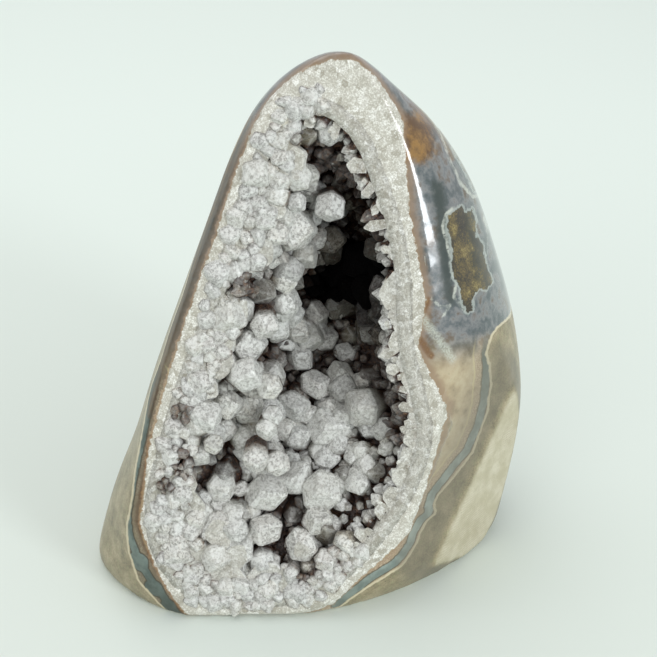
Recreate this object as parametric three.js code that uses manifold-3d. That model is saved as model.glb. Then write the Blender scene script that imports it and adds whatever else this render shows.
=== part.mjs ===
// A cut-base quartz geode: a lump of basalt and agate sawn flat underneath, sawn open on the front
// and polished, with a cavity full of quartz points. It stands on its own sawn base.
//
// Millimetres, +Z up. The sawn mouth faces -Y and leans back; the base lies on z = 0.
// Places on the mouth are given as [x, up]: x to the right, and up along the slope from the base.
import * as THREE from "three";
import { mergeVertices } from "three/addons/utils/BufferGeometryUtils.js";
import Module from "manifold-3d";

const wasm = await Module();
wasm.setup();

// ---- Driving dimensions ----------------------------------------------------------------------

const HEIGHT = 130;
const MOUTH_LEAN = THREE.MathUtils.degToRad(18); // the mouth leans back by this much
const FRONT_FOOT_Y = -36; // where the plane of the mouth meets the base
const CLEARANCE = 0.3; // gap left between pieces that touch

// Outline of the lump at each height: [height, value].
const LEFT_SIDE = [[0, -56], [7, -54], [21, -49.5], [35, -43.5], [50, -38.5], [66, -32.5],
  [92, -22.5], [105, -17.5], [115, -12.5], [123, -6], [128, 1], [130, 6]];
const RIGHT_SIDE = [[0, 50.5], [14, 53.5], [28, 55.5], [40, 56], [54, 54], [66, 51],
  [81, 46], [93, 41.5], [103, 36], [112, 29.5], [119, 22.5], [126, 16], [130, 11]];
const MOUTH_LEFT = [[0, -27], [4, -33], [16, -40.5], [24, -42.5], [41, -39.5], [50, -37], [74, -29],
  [100, -18.5], [115, -11], [123, -4], [128, 3], [130, 7]];
const MOUTH_RIGHT = [[0, -7], [4, 4], [10, 13], [20, 23], [32, 30], [48, 33], [62, 30], [85, 26.5],
  [106, 23], [120, 18], [126, 14], [130, 10]];
// How far behind the mouth the widest points of the left and right sides and the back lie.
const LEFT_DEPTH = [[0, 24], [35, 20], [60, 17], [85, 12], [105, 9], [120, 6], [130, 3]];
const RIGHT_DEPTH = [[0, 38], [35, 35], [60, 31], [85, 26], [105, 18], [120, 9], [130, 3]];
const BACK_DEPTH = [[0, 62], [35, 57], [60, 49], [85, 39], [105, 27], [120, 15], [130, 4]];

// How full each rounded corner of a level section is: 1 is a straight bevel, 2 a quarter ellipse.
const SHOULDER_FULLNESS = [[0, 1.5], [25, 1.65], [55, 1.85], [130, 1.9]];
const LEFT_FULLNESS = 1.45;
const BACK_FULLNESS = 2.1;
const BASE_EDGE_RADIUS = 1.5; // the sawn base's edge is eased by polishing

// Two flats on the lower right, each given by a point on it and the way it faces: the second saw
// cut, and a polished one that meets it in a crease.
const SIDE_FLATS = [
  { through: [33.8, -21.5, 0], facing: [0.752, -0.659, -0.035] },
  { through: [42.8, -12.5, 25], facing: [0.65, -0.757, 0.067] },
];

// The cavity: its lip on the mouth, its deepest point, and how its wall falls away.
const LIP = [[3, 126], [-6, 121], [-13, 108], [-18, 92], [-23.5, 76], [-29.5, 60], [-35, 42],
  [-38, 28], [-35, 14], [-25, 4.5], [-10, 4], [5, 8], [16.5, 19], [25, 32], [29.5, 47], [27.5, 58],
  [24.5, 70], [24, 84], [21.5, 98], [18, 108], [13, 119]];
const DEEPEST = [12, 87];
const POCKET_DEPTH = 35;
const POCKET_STEP = 7.5; // the pocket's wall drops this far straight in at the lip
const CRUST_THICKNESS = 2.5;
const CRUST_ROUGHNESS = 1.2; // hollows between the small crystals the crust is made of
const LIP_STEPS = 54; // points round the lip
const BOWL_EXPONENT = 1.6;
const SIDE_STEEPNESS = 1.35; // the wall above and below the deepest point
const STEEPNESS_SWING = 0.85; // added on the left, where the wall is a shelf, and taken off on the right

// The large quartz points standing on the crust: [x, up, width across the prism].
const LARGE_POINTS = [
  [0, 118, 7], [-2, 106, 9], [7, 102, 9], [-7, 112, 6.5], [8, 112, 7], [4, 120, 6],
  [-6, 95, 10], [-13, 102, 8], [-14, 91, 9], [-18, 80, 9], [-4, 82, 7.5], [2, 94, 7],
  [-13, 71, 11], [-22, 70, 9], [-8, 61, 9], [-17, 58, 10.5], [-26, 59, 8.5],
  [-25, 46, 10], [-14, 46, 9.5], [-8, 35, 9.5], [-16, 25, 9.5], [-20, 12, 10.5],
  [-31, 33, 9.5], [-30, 20, 9.5], [-9, 13, 8.5], [5, 77, 9], [11, 66, 8.5], [16, 56, 7.5],
  [8, 53, 9.5], [4, 43, 9.5], [15, 45, 8.5], [2, 63, 8], [-2, 52, 8], [10, 33, 10],
  [5, 21, 11], [-3, 24, 8.5], [17, 35, 8.5], [1, 12, 8], [-20, 35, 9.5], [-31, 46, 7],
  [-24, 26, 7.5], [-11, 81, 8], [12, 82, 8], [-4, 71, 7.5], [9, 92, 7.5], [1, 33, 7.5],
];
// Points growing across the cavity from its right wall, sliced by the saw: [x of the tip, up, width].
const LIP_POINTS = [[15.2, 102, 6.5], [16.4, 93, 7], [17.4, 84, 7], [17, 75, 6.5], [18, 66, 7],
  [20.5, 57, 6.5], [22.6, 47, 7], [12.4, 111, 6]];

// ---- Materials -------------------------------------------------------------------------------

const stone = new THREE.MeshStandardMaterial({ color: 0x8d8672, roughness: 0.35, metalness: 0 });
const crustQuartz = new THREE.MeshStandardMaterial({ color: 0x7d6a62, roughness: 0.5, metalness: 0 });
const pointQuartz = new THREE.MeshStandardMaterial({ color: 0xc9c5c6, roughness: 0.2, metalness: 0 });

// ---- Solids ----------------------------------------------------------------------------------

// A closed geometry as a solid for cutting and joining.
function solidFrom(geometry) {
  const bare = new THREE.BufferGeometry().setAttribute("position", geometry.getAttribute("position"));
  if (geometry.index) bare.setIndex(geometry.index);
  const merged = mergeVertices(bare, 1e-4);
  return new wasm.Manifold(new wasm.Mesh({
    numProp: 3,
    vertProperties: new Float32Array(merged.getAttribute("position").array),
    triVerts: new Uint32Array(merged.index.array),
  }));
}

// A solid as a named mesh; of a solid that was cut into several pieces, only the largest is kept.
function meshFrom(solid, name, material) {
  const pieces = solid.decompose().sort((a, b) => b.volume() - a.volume());
  const { vertProperties, triVerts } = pieces[0].getMesh();
  const geometry = new THREE.BufferGeometry()
    .setAttribute("position", new THREE.BufferAttribute(vertProperties, 3))
    .setIndex(new THREE.BufferAttribute(triVerts, 1));
  geometry.computeVertexNormals();
  const mesh = new THREE.Mesh(geometry, material);
  mesh.name = name;
  return mesh;
}

// A solid skinned over rings of equally many points, each ring given once round without repeating
// its first point. Rings run so that their points turn anticlockwise seen from the last ring.
function skin(rings) {
  const count = rings[0].length;
  const centres = [rings[0], rings.at(-1)].map((ring) =>
    ring.reduce((sum, p) => sum.add(p), new THREE.Vector3()).divideScalar(count));
  const points = [...rings.flat(), ...centres];
  const faces = [];
  for (let r = 0; r + 1 < rings.length; r++) {
    for (let i = 0; i < count; i++) {
      const [a, b] = [r * count + i, r * count + ((i + 1) % count)];
      faces.push(a, b, b + count, a, b + count, a + count);
    }
  }
  const last = (rings.length - 1) * count;
  for (let i = 0; i < count; i++) {
    const j = (i + 1) % count;
    faces.push(j, i, points.length - 2, last + i, last + j, points.length - 1);
  }
  const geometry = new THREE.BufferGeometry().setFromPoints(points).setIndex(faces);
  return solidFrom(geometry);
}

// Repeatable random numbers from 0 to 1.
function randomSource(seed) {
  let state = seed;
  return () => {
    state = (state * 1664525 + 1013904223) % 4294967296;
    return state / 4294967296;
  };
}

// ---- The lump --------------------------------------------------------------------------------

// A smooth function of height through [height, value] pairs.
function profile(pairs) {
  const curve = new THREE.SplineCurve(pairs.map(([height, value]) => new THREE.Vector2(height, value)));
  const samples = curve.getPoints(pairs.length * 12);
  return (height) => {
    const next = samples.findIndex((p) => p.x >= height);
    if (next <= 0) return samples[next < 0 ? samples.length - 1 : 0].y;
    const [a, b] = [samples[next - 1], samples[next]];
    return THREE.MathUtils.mapLinear(height, a.x, b.x, a.y, b.y);
  };
}

const shoulderFullness = profile(SHOULDER_FULLNESS);
const leftSide = profile(LEFT_SIDE);
const rightSide = profile(RIGHT_SIDE);
const mouthLeft = profile(MOUTH_LEFT);
const mouthRight = profile(MOUTH_RIGHT);
const leftDepth = profile(LEFT_DEPTH);
const rightDepth = profile(RIGHT_DEPTH);
const backDepth = profile(BACK_DEPTH);
const mouthY = (height) => FRONT_FOOT_Y + height * Math.tan(MOUTH_LEAN);

// A rounded corner from one point to the other, leaving the first along x (or along y) and
// arriving across it. The second point itself is left for the next stretch.
function corner(from, to, fullness, steps, alongX) {
  return Array.from({ length: steps }, (_, i) => {
    const turn = (i / steps) * (Math.PI / 2);
    const out = Math.sin(turn) ** (2 / fullness);
    const round = 1 - Math.cos(turn) ** (2 / fullness);
    const [across, along] = alongX ? [out, round] : [round, out];
    return new THREE.Vector2(
      THREE.MathUtils.lerp(from.x, to.x, across),
      THREE.MathUtils.lerp(from.y, to.y, along),
    );
  });
}

// The lump's level outline at one height, anticlockwise seen from above, from the mouth's left edge.
function lumpOutline(height) {
  const y = mouthY(height);
  const frontLeft = new THREE.Vector2(mouthLeft(height), y);
  const frontRight = new THREE.Vector2(mouthRight(height), y);
  const right = new THREE.Vector2(rightSide(height), y + rightDepth(height));
  const left = new THREE.Vector2(leftSide(height), y + leftDepth(height));
  const back = new THREE.Vector2((left.x + right.x) / 2, y + backDepth(height));
  const flat = Array.from({ length: 6 }, (_, i) => frontLeft.clone().lerp(frontRight, i / 6));
  return [
    ...flat,
    ...corner(frontRight, right, shoulderFullness(height), 9, true),
    ...corner(right, back, BACK_FULLNESS, 8, false),
    ...corner(back, left, BACK_FULLNESS, 8, true),
    ...corner(left, frontLeft, LEFT_FULLNESS, 7, false),
  ];
}

// The bumps of the weathered skin, only on the back, where nothing is polished.
function weathering(point, height) {
  const behind = THREE.MathUtils.smoothstep(point.y - mouthY(height), 30, 48);
  const { x, y } = point;
  return 1 + 0.02 * behind * (Math.sin(x / 7 + height / 9) + Math.sin(height / 6 - x / 11 + y / 8));
}

function lumpSolid() {
  const heights = [0, 0.5, BASE_EDGE_RADIUS, 6, 12, 18, 24, 30, 36, 42, 48, 54, 60, 66, 72, 78, 84,
    90, 96, 102, 107, 112, 116, 120, 123, 126, 128, 129.3, HEIGHT];
  const rings = heights.map((height) => {
    const outline = lumpOutline(Math.max(height, BASE_EDGE_RADIUS));
    const middle = new THREE.Vector2((leftSide(height) + rightSide(height)) / 2, mouthY(height) + 25);
    const easing = BASE_EDGE_RADIUS - Math.sqrt(
      BASE_EDGE_RADIUS ** 2 - Math.max(BASE_EDGE_RADIUS - height, 0) ** 2);
    return outline.map((p) => {
      const spoke = p.clone().sub(middle);
      const reach = spoke.length() * weathering(p, height) - easing;
      const eased = middle.clone().add(spoke.setLength(reach));
      return new THREE.Vector3(eased.x, eased.y, height);
    });
  });
  return skin(rings);
}

// Everything that lies in front of a flat.
function wasteBeyond({ through, facing }) {
  const waste = new THREE.BoxGeometry(400, 400, 100);
  waste.translate(0, 0, 50);
  waste.applyQuaternion(new THREE.Quaternion().setFromUnitVectors(
    new THREE.Vector3(0, 0, 1), new THREE.Vector3(...facing).normalize()));
  waste.translate(...through);
  return solidFrom(waste);
}

// ---- The cavity ------------------------------------------------------------------------------

// From the mouth's own frame (x, up the slope, straight out of the mouth) to the part's frame.
const mouthFrame = new THREE.Matrix4().makeBasis(
  new THREE.Vector3(1, 0, 0),
  new THREE.Vector3(0, Math.sin(MOUTH_LEAN), Math.cos(MOUTH_LEAN)),
  new THREE.Vector3(0, -Math.cos(MOUTH_LEAN), Math.sin(MOUTH_LEAN)),
).setPosition(0, FRONT_FOOT_Y, 0);
const inPart = (x, up, depth) => new THREE.Vector3(x, up, -depth).applyMatrix4(mouthFrame);

// A bowl sunk in the mouth: its lip drawn in by inset, and its floor raised by the same amount.
function bowl(inset) {
  const deepest = new THREE.Vector2(...DEEPEST);
  const spline = new THREE.CatmullRomCurve3(LIP.map(([x, up]) => new THREE.Vector3(x, up, 0)), true);
  const lip = spline.getSpacedPoints(LIP_STEPS).slice(0, -1).map((p, i) => {
    const tangent = spline.getTangentAt(i / LIP_STEPS);
    return new THREE.Vector2(p.x - tangent.y * inset, p.y + tangent.x * inset);
  });
  const step = POCKET_STEP - inset;
  const fall = POCKET_DEPTH - POCKET_STEP;

  // Depth on the spoke from the deepest point in this direction, at share of the way to the lip.
  const depthOn = (spoke, share) => {
    const steepness = SIDE_STEEPNESS - STEEPNESS_SWING * (spoke.x / spoke.length());
    return step + fall * (1 - share ** BOWL_EXPONENT) ** steepness;
  };
  // The share of the way from the deepest point to the lip at a place on the mouth.
  const shareAt = (place) => {
    const spoke = place.clone().sub(deepest);
    const reach = lip.reduce((found, a, i) => {
      const b = lip[(i + 1) % lip.length];
      const [ea, eb] = [a.clone().sub(deepest), b.clone().sub(a)];
      const cross = spoke.cross(eb);
      const [t, s] = [ea.cross(eb) / cross, ea.cross(spoke) / cross];
      return t > 0 && s >= 0 && s <= 1 ? t : found;
    }, Infinity);
    return Math.min(1 / reach, 1);
  };
  return { deepest, lip, depthOn, shareAt, depthAt: (place) => depthOn(place.clone().sub(deepest), shareAt(place)) };
}

// The space inside a bowl, carried on for a way in front of the mouth. Its wall is hollowed at
// random by up to the roughness, less towards the deepest point.
function bowlSolid({ deepest, lip, depthOn }, shares, roughness = 0) {
  const rings = shares.map((share) => lip.map((edge) => {
    const spoke = edge.clone().sub(deepest);
    const place = deepest.clone().addScaledVector(spoke, share + jitter(roughness * 0.008));
    return inPart(place.x, place.y, depthOn(spoke, share) + share * roughness * random());
  }));
  rings.push(lip.map((edge) => inPart(edge.x, edge.y, -20)));
  return skin(rings);
}

// ---- Quartz points ---------------------------------------------------------------------------

// A six-sided prism with a six-sided point, root at the origin, tip along +Y.
function quartzPoint(width, length) {
  const radius = width / 2;
  const shank = length - 0.75 * width;
  const outline = [[0, 0], [0.8 * radius, 0], [radius, shank], [0, length]]
    .map(([x, y]) => new THREE.Vector2(x, y));
  return new THREE.LatheGeometry(outline, 6);
}

// Directions in which the points stand: off the wall, turned partly towards the mouth.
function wallNormal(bowlShape, place) {
  const step = 0.5;
  const at = (dx, dup) => bowlShape.depthAt(place.clone().add(new THREE.Vector2(dx, dup)));
  return new THREE.Vector3(
    (at(step, 0) - at(-step, 0)) / (2 * step),
    (at(0, step) - at(0, -step)) / (2 * step),
    1,
  ).normalize();
}

// A point at a place on the mouth: a solid rooted in the crust there, and the same one grown by
// the clearance, which later points are cut back from.
function placedPoint(root, direction, width, length, spin) {
  const turn = new THREE.Quaternion().setFromUnitVectors(new THREE.Vector3(0, 1, 0), direction);
  const place = new THREE.Matrix4().compose(root, turn, new THREE.Vector3(1, 1, 1)).premultiply(mouthFrame);
  const shape = (grow) => solidFrom(quartzPoint(width + 2 * grow, length + grow)
    .rotateY(spin).applyMatrix4(place));
  return { own: shape(0), grown: shape(CLEARANCE) };
}

// ---- Assembly --------------------------------------------------------------------------------

const geode = new THREE.Group();
const random = randomSource(11);
const jitter = (amount) => (random() - 0.5) * 2 * amount;

const coarse = [0.05, 0.14, 0.26, 0.4, 0.55, 0.7, 0.84, 0.94, 1];
const fine = Array.from({ length: 17 }, (_, i) => 0.05 + 0.95 * (i / 16));
const crustBowl = bowl(CRUST_THICKNESS);
const pocketSolid = bowlSolid(bowl(0), coarse);
const crustOuter = bowlSolid(bowl(CLEARANCE), coarse);
const crustInner = bowlSolid(crustBowl, fine, CRUST_ROUGHNESS);
const spaceForPoints = bowlSolid(bowl(CRUST_THICKNESS + CLEARANCE), coarse);
const behindMouth = new THREE.BoxGeometry(300, 300, 300);
behindMouth.translate(0, 0, -150 - CLEARANCE).applyMatrix4(mouthFrame);
const sawnFront = solidFrom(behindMouth);

const lump = SIDE_FLATS.reduce((rest, flat) => rest.subtract(wasteBeyond(flat)), lumpSolid());
geode.add(meshFrom(lump.subtract(pocketSolid), "rock_shell", stone));
geode.add(meshFrom(crustOuter.subtract(crustInner).intersect(sawnFront), "druse_crust", crustQuartz));

const standing = [];

// Adds a point with its tip at the given place in the mouth's frame, cut back to where it may stand.
function addPoint(tip, direction, width, length) {
  const root = tip.clone().addScaledVector(direction, -length);
  const point = placedPoint(root, direction, width, length, random() * Math.PI);
  const own = standing.reduce((rest, other) => rest.subtract(other.grown), point.own);
  const trimmed = own.intersect(spaceForPoints).intersect(sawnFront);
  standing.push(point);
  const name = "quartz_point_" + String(standing.length).padStart(2, "0");
  geode.add(meshFrom(trimmed, name, pointQuartz));
}

for (const [x, up, width] of LARGE_POINTS) {
  const place = new THREE.Vector2(x, up);
  const direction = wallNormal(crustBowl, place).lerp(new THREE.Vector3(0, 0, 1), 0.45)
    .add(new THREE.Vector3(jitter(0.25), jitter(0.25), 0)).normalize();
  const reach = width * (0.6 + 0.35 * random());
  const tip = new THREE.Vector3(x, up, -crustBowl.depthAt(place)).addScaledVector(direction, reach);
  addPoint(tip, direction, width, reach + 1.5 * width);
}
for (const [x, up, width] of LIP_POINTS) {
  const direction = new THREE.Vector3(-1, jitter(0.3), 0.1).normalize();
  addPoint(new THREE.Vector3(x, up, -0.3 * width), direction, width, 2 * width);
}

// The part's origin is the middle of its footprint.
const box = new THREE.Box3().setFromObject(geode);
const middle = box.getCenter(new THREE.Vector3()).setZ(0);
for (const mesh of geode.children) mesh.position.sub(middle);

export default geode;
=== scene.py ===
"""A cut-base quartz geode: sawn and polished agate around a cavity full of quartz points.

Lengths below are in millimetres unless a name says otherwise. Places on the stone are given on the
sawn mouth, as (x, up): x to the right, and up the slope from where the mouth meets the base.
"""
import math
from contextlib import contextmanager

import bmesh
import bpy
import numpy as np
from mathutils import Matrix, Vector


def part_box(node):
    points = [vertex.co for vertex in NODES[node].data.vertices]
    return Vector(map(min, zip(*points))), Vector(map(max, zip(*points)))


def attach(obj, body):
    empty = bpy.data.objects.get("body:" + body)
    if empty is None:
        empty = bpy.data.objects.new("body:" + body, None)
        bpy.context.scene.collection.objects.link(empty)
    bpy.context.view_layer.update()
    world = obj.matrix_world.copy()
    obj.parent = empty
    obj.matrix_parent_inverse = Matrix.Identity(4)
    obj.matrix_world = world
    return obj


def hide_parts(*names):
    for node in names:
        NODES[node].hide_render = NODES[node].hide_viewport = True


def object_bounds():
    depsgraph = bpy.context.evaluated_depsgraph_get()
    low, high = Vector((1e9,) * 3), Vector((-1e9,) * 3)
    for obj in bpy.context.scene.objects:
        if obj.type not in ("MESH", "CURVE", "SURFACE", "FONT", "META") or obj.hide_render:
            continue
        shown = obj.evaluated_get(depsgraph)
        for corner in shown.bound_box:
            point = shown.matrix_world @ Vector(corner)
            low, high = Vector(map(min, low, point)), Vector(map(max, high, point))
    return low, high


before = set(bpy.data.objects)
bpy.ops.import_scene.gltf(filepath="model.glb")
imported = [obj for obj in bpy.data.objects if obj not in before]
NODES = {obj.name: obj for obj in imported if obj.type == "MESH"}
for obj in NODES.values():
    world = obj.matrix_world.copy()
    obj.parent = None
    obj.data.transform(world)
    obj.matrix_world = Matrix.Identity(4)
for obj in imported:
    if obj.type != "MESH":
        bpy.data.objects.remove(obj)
CAD_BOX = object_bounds()
MM = 0.001
GOLDEN = 0.618  # steps of this share keep neighbours' tones apart

# ---- The stone's own measures ----------------------------------------------------------------

MOUTH_LEAN = math.radians(18)
MOUTH_FOOT_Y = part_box("rock_shell")[0][1] / MM - 0.49  # the base's eased edge hides the true foot
MOUTH_ZERO_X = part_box("rock_shell")[0][0] / MM + 56.855  # where x is nought on the mouth
UP_SLOPE = np.array([0, math.sin(MOUTH_LEAN), math.cos(MOUTH_LEAN)])
OUTWARD = np.array([0, -math.cos(MOUTH_LEAN), math.sin(MOUTH_LEAN)])
SIDE_CUT_FROM = np.array([MOUTH_ZERO_X + 32.53, -20.38, 0])  # the saw cut on the lower right
SIDE_CUT_FACING = np.array([0.7515, -0.6586, -0.035])
SIDE_FLAT_FROM = np.array([MOUTH_ZERO_X + 41.53, -11.38, 25])  # the polished flat beside it
SIDE_FLAT_FACING = np.array([0.6499, -0.7569, 0.067])

# Where the white quartz rim ends, once round.
QUARTZ_EDGE = [
    (19.3, 126), (21.2, 120.6), (21.8, 111.5), (22.9, 100), (25.1, 89), (26.9, 80), (25.8, 72.6),
    (25.2, 69), (27.2, 64), (29.9, 59), (31.1, 56), (34.5, 52), (35.3, 49), (32.8, 43),
    (30.5, 36.7), (28.4, 30), (24.1, 22.6), (18.1, 16.6), (12, 11), (8.3, 7), (4.6, 3), (-2.9, 1),
    (-15.3, 0.3), (-30.2, 1), (-32.6, 4), (-36.1, 10), (-39.1, 17), (-41.3, 25), (-39.9, 34),
    (-38.9, 43), (-36.2, 53), (-33.1, 63), (-28.3, 77.5), (-22.2, 94), (-18.1, 106),
    (-16.2, 111.5), (-12.6, 120.6), (-9.1, 127), (-2.3, 132), (4.5, 134.7), (10.2, 134.7),
    (14.8, 131),
]
# Where the agate ends and the basalt begins, once round.
AGATE_EDGE = [
    (-33, -2), (0, -2), (7.5, 1.5), (10, 4.5), (14.5, 8), (18.5, 10.4), (22, 12.6), (24.2, 15.5),
    (26.2, 18.6), (26.8, 21), (28.6, 23.8), (31.2, 25.2), (30.4, 28), (31.5, 30.2), (33.7, 32.2),
    (36, 34.6), (38.2, 37), (40.3, 39.6), (41.3, 42.8), (42.6, 46.5), (43.8, 50.2), (43.6, 53),
    (44.2, 56.5), (43.8, 59.6), (43.4, 62.4), (42.3, 65.3), (42.8, 67.4), (43.9, 69.6),
    (45.6, 70.9), (48, 71.3), (50.4, 70.9), (58, 73), (75, 80), (70, 110), (45, 140), (10, 155),
    (-25, 150), (-16.5, 128), (-20.5, 119), (-24.5, 108), (-29, 95), (-33, 83), (-37, 70),
    (-40.5, 58), (-41, 50), (-43.8, 33.6), (-45.7, 24.4), (-45.7, 16.5), (-43.4, 8.6),
    (-39.6, 5.0), (-36, 0),
]
# The middle of the blue-grey band just inside that edge.
BLUE_BAND = [
    [(42.6, 70), (42, 66), (42.6, 61.6), (42.5, 58.9), (42.4, 56.2), (42.4, 53.1), (41.8, 50.4),
     (41.1, 46.9), (39.5, 43.3), (38.3, 40.4), (35.8, 38.2), (33.7, 35.8), (31.5, 33.5),
     (29.4, 31), (28.7, 28.2), (28.9, 26.2), (26.4, 24.6), (24.9, 21.9), (24.2, 19.3),
     (22.3, 16.6), (20.4, 14.4), (17.4, 12.6), (14.2, 10.6), (11.6, 8.2), (8.8, 6), (6, 3)],
    [(-36.6, 62), (-38.4, 54.8), (-40.9, 44.6), (-42.6, 37.5), (-43.6, 32.4), (-44.6, 26.8),
     (-44.2, 21.5), (-42.6, 17), (-41, 13.4), (-39.1, 10.2), (-36.9, 7.2), (-35.3, 4.2),
     (-32.7, 1)],
]
# Round swellings of that band: (x, up, reach).
BAND_LOBES = [(-42.2, 14.8, 1.5), (-38.6, 8.0, 1.3), (-35, 3.2, 1.0)]
RUST_LINES = [
    [(20.6, 112), (21.2, 105), (22.4, 99), (23.8, 91), (25.7, 82)],
    [(27.3, 80), (26.2, 77.2), (24.6, 74.3), (24.6, 72), (26.4, 69.5), (28.4, 66.6)],
    [(-38, 46.8), (-39.2, 39.7), (-40.6, 32.6), (-41.9, 25.5), (-39.9, 19), (-37.7, 14),
     (-34.6, 8), (-31.2, 1.6)],
    [(-38.6, 52), (-35.6, 63), (-31, 77), (-25.6, 92.5), (-21, 105), (-17, 116), (-12, 127.5)],
    [(20, 130), (25, 124.5), (30.2, 118.5), (33.6, 112)],
]
PALE_LINES = [
    [(28.6, 121.6), (31.2, 116), (33, 111), (35.5, 106), (39, 102.4), (42.5, 101.8)],
    [(33.4, 100.9), (31.6, 99.7), (30.6, 96.8), (31.6, 93.9), (32.6, 89.6), (32.4, 88),
     (34.2, 83.4), (33.6, 80.2), (36.8, 76.2)],
    [(28, 80.5), (30.5, 78.2), (32.8, 78.4), (31, 76)],
    [(42.4, 88.4), (43.4, 93.8), (42.2, 97)],
]
CREAM_STREAK = [(26.3, 75.6), (28.6, 72.4), (31, 69), (33.4, 65.8)]
DUSKY_STREAK = [(29.4, 106), (30.4, 100), (30.9, 92), (31.4, 86), (32.6, 80)]
MOSS_PATCHES = [
    [(33.9, 100.4), (35.6, 101.2), (36.6, 99.4), (38.6, 100), (39.6, 96.6), (39.3, 93.6),
     (41.6, 91.4), (42, 87.4), (43.4, 83.6), (44.2, 81.8), (42.2, 80.4), (40.2, 81.4),
     (38.4, 79.4), (38.6, 76.4), (37, 75.8), (35.6, 78.6), (35, 82.6), (33.2, 85), (33, 88.5),
     (33.3, 90.6), (32.4, 93.9), (31.5, 96.8), (32.2, 99.4)],
    [(33.6, 114), (35.6, 110.6), (38, 106.6), (39.4, 103.4), (41.6, 103.6), (41, 107.6),
     (38.8, 112), (36, 115.6)],
    [(43.4, 95.2), (44.6, 95.8), (44.8, 94), (43.8, 93.6)],
]
AMBER_SPOT = [(21.6, 122.5), (25.6, 122.6), (28.6, 119.6), (28.8, 114), (26.4, 111.4),
              (21.8, 112.4)]

# The deep part of the cavity that no light reaches, and the heart of it.
DARK_HOLLOW = [
    (8, 104.6), (12.4, 106.6), (14.3, 102.7), (17.1, 98.5), (16.5, 94.8), (16.7, 91.5),
    (20.2, 89.1), (18.2, 84.6), (15.6, 82.2), (17.6, 77.2), (16.4, 71.4), (8.1, 74.6), (7.2, 78.9),
    (1.3, 79.9), (-4.1, 79.4), (-4.1, 81.8), (-2, 85.8), (-0.3, 88.9), (3.2, 91), (3.4, 94.8),
    (8.3, 97.4),
]
BLACK_HEART = [
    (7.1, 93.4), (11.1, 92.9), (12.8, 91), (15.8, 90.5), (18.6, 87.2), (18.2, 84.6), (14.4, 83.7),
    (9.5, 81.8), (2.5, 81.3), (-1.7, 83.7), (0.8, 87.7), (5.8, 88.9),
]
# Where the cavity grows dim: (x, up, reach, how much).
DIM_PLACES = [
    (4, 70, 16, 0.42), (12, 62, 14, 0.45), (14, 50, 9, 0.3), (0, 58, 10, 0.3), (6, 45, 10, 0.12),
    (-3, 24, 9, 0.34), (-28, 37, 6, 0.15), (9, 102, 9, 0.5), (2, 112, 8, 0.35), (-2, 90, 7, 0.4),
]
# Pockets between the crystals where iron has settled: (x, up, reach).
IRON_POCKETS = [
    (0, 117.2, 5), (2, 114, 6), (6, 108.5, 6), (10, 100, 6), (-9.6, 67.3, 5), (-6.2, 56, 4),
    (-2.8, 60.9, 5), (-1.4, 55.8, 3.5), (2.7, 65.3, 5), (8.1, 72.6, 6), (12.9, 66.6, 6),
    (16, 60.4, 5), (21.8, 55.5, 6), (21.4, 48.5, 5), (-30.4, 52.3, 3.5), (-30.7, 40.5, 5),
    (-20, 42, 4.5), (-18.9, 38.7, 4), (-35.4, 34.7, 3.5), (-25.7, 35.4, 3.5), (-5.2, 25.2, 6.5),
    (-1.5, 13.5, 5), (-9.6, 18.7, 4), (-23.1, 44.3, 3.5), (-11.4, 82.2, 4.5), (-14.7, 83.4, 4),
    (0, 84, 7), (12, 96, 6),
]
# The scalloped edge of the quartz on the right of the cavity: (x, up) of each lobe's tip.
SCALLOPS = [
    (2.5, 128), (7.5, 126.4), (10.5, 123), (11.8, 119), (12.6, 115.2), (13, 111), (13.8, 106.8),
    (15.2, 103), (17.8, 99.4), (17, 95.4), (17.6, 91.8), (20.6, 88.2), (18.2, 84.6), (16, 81.2),
    (18.2, 77), (19.6, 73.4), (18.2, 69.4), (20, 65), (21.6, 60.4), (22.8, 55.6), (23.2, 50.8),
    (22, 46), (20.8, 41.6), (19.6, 36.6), (17.4, 31.6),
]

# The largest crystals of the shelf on the left and round the cavity:
# (x, up, width, depth of the tip).
SHELF_CRYSTALS = [
    (-2.7, 109.2, 7.6, 1.5), (4.6, 101.2, 8.0, 2.5), (-10.9, 107.9, 8.7, 0), (-6.5, 94.5, 6.4, 1),
    (-21.6, 85.4, 7.6, 0), (-18.1, 75.5, 9.2, 0), (-10.6, 72.9, 7.4, 0.5), (-13.5, 62.5, 9.2, 0.3),
    (-10.0, 59.4, 7.0, 1), (-2.3, 102.6, 5.6, 2.5), (-15.8, 99.4, 6.2, 0), (-13.1, 39.9, 7.4, 0.5),
    (-18.6, 23.7, 7.0, 0.5), (-22.4, 15.7, 8.2, 0), (-31.2, 32.6, 6.6, 0), (-37.0, 25.5, 6.2, 0),
    (-31.6, 17.2, 8.4, 0), (-11.7, 13.9, 7.0, 1.5), (-19.6, 8.2, 6.2, 0), (-31.5, 49.5, 6.0, 0),
    (-23.4, 51.5, 9.0, 0), (-22.6, 44.8, 5.4, 0.4), (-8.9, 52.3, 5.4, 1.2),
    (-10.6, 48.1, 6.0, 0.8), (-6.9, 40.4, 7.0, 1.5), (-2.2, 123.6, 5.9, 0), (-26.8, 68.1, 6.3, 0),
    (-24.9, 59.6, 7.3, 0), (-33.6, 42.4, 5.8, 0), (-26.8, 26.0, 6.0, 0.2), (-2.7, 7.9, 7.3, 0),
    (-10.1, 7.0, 6.0, 0), (4.6, 15.7, 6.5, 0.3), (-10.4, 116.9, 5.0, 0.4), (-6.0, 121.6, 5.0, 0.4),
    (-18.4, 94.1, 6.2, 0.2), (-28.4, 7.5, 4.9, 0),
]

# ---- Small helpers ---------------------------------------------------------------------------


def srgb(red, green, blue):
    """A colour from its everyday 0 to 255 values."""
    def channel(value):
        share = value / 255
        return share / 12.92 if share <= 0.04045 else ((share + 0.055) / 1.055) ** 2.4
    return (channel(red), channel(green), channel(blue), 1)


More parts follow.
